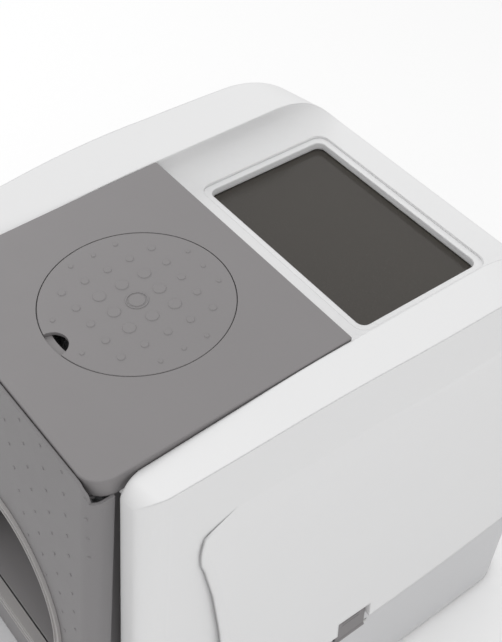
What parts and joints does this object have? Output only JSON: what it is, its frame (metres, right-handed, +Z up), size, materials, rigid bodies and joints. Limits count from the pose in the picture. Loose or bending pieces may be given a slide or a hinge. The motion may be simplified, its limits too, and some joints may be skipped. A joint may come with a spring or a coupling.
{
  "type": "self-cleaning litter box",
  "caption": "Hooded litter box with a lever-turned sieving pan, a lift-up lid with a round filter cover, a rear window and a waste drawer.",
  "frame": {"origin": "on the floor under the middle of the box", "axes": "+Z up, -Y towards the entrance, the turning lever on the -X side"},
  "size_m": [0.48, 0.66, 0.6223],
  "materials": {
    "white_plastic": "white moulded plastic, satin",
    "grey_plastic": "warm grey moulded plastic, fine matte",
    "light_grey_plastic": "light grey moulded plastic",
    "dark_plastic": "dark grey soft grip",
    "base_plastic": "pale grey moulded plastic, satin",
    "inner_plastic": "plain grey moulded plastic",
    "pan_plastic": "smooth grey plastic",
    "bush_plastic": "natural acetal",
    "smoked_pane": "smoked acrylic, glossy",
    "black_rubber": "soft black rubber",
    "steel": "plated steel",
    "carbon_fabric": "activated carbon felt"
  },
  "bodies": {
    "base": {"hood_shell": "white_plastic", "lever_dish": "white_plastic", "window_frame": "white_plastic", "window_gasket": "black_rubber", "window_pane": "smoked_pane", "front_panel": "grey_plastic", "entrance_rim": "light_grey_plastic", "base_tub": "base_plastic", "rubber_feet": "black_rubber", "side_frame_left": "inner_plastic", "side_frame_right": "inner_plastic", "bearing_bush_left": "bush_plastic", "bearing_bush_right": "bush_plastic", "frame_screws": "steel", "deck_screws": "steel", "entry_ledge": "grey_plastic", "rear_deflector": "inner_plastic", "drawer_runner_left": "inner_plastic", "drawer_runner_right": "inner_plastic", "latch_pins": "steel"},
    "lid": {"top_lid": "grey_plastic", "lid_hinge_pins": "steel", "filter_housing": "inner_plastic", "filter_grille": "inner_plastic", "filter_pad": "carbon_fabric"},
    "cover": {"filter_cover": "grey_plastic"},
    "pan": {"litter_pan": "pan_plastic", "sieve_grid": "pan_plastic", "entry_step": "pan_plastic", "trunnion_left": "bush_plastic", "trunnion_right": "bush_plastic", "axle_screws": "steel", "lever_hub": "grey_plastic", "lever_arm": "grey_plastic", "lever_grip": "dark_plastic", "hub_screw": "steel", "hub_cap": "dark_plastic"},
    "drawer": {"waste_drawer": "inner_plastic", "drawer_front": "grey_plastic", "liner_ring": "light_grey_plastic"},
    "latch_left": {"hood_latch_left": "grey_plastic"},
    "latch_right": {"hood_latch_right": "grey_plastic"}
  },
  "joints": [
    {"name": "lid_hinge", "type": "hinge", "parent": "base", "child": "lid", "pos_m": [0, 0.0395, 0.601], "axis": [-1, 0, 0], "range_deg": [0, 95]},
    {"name": "cover_lift", "type": "slide", "parent": "lid", "child": "cover", "axis": [0, 0, 1], "range_m": [0, 0.06]},
    {"name": "pan_turn", "type": "hinge", "parent": "base", "child": "pan", "pos_m": [0, 0.01, 0.348], "axis": [1, 0, 0], "range_deg": [0, 110]},
    {"name": "drawer_slide", "type": "slide", "parent": "base", "child": "drawer", "axis": [0, -1, 0], "range_m": [0, 0.3]},
    {"name": "latch_left_swing", "type": "hinge", "parent": "base", "child": "latch_left", "pos_m": [-0.2316, 0.02, 0.158], "axis": [0, -1, 0], "range_deg": [0, 35]},
    {"name": "latch_right_swing", "type": "hinge", "parent": "base", "child": "latch_right", "pos_m": [0.2316, 0.02, 0.158], "axis": [0, 1, 0], "range_deg": [0, 35]}
  ]
}
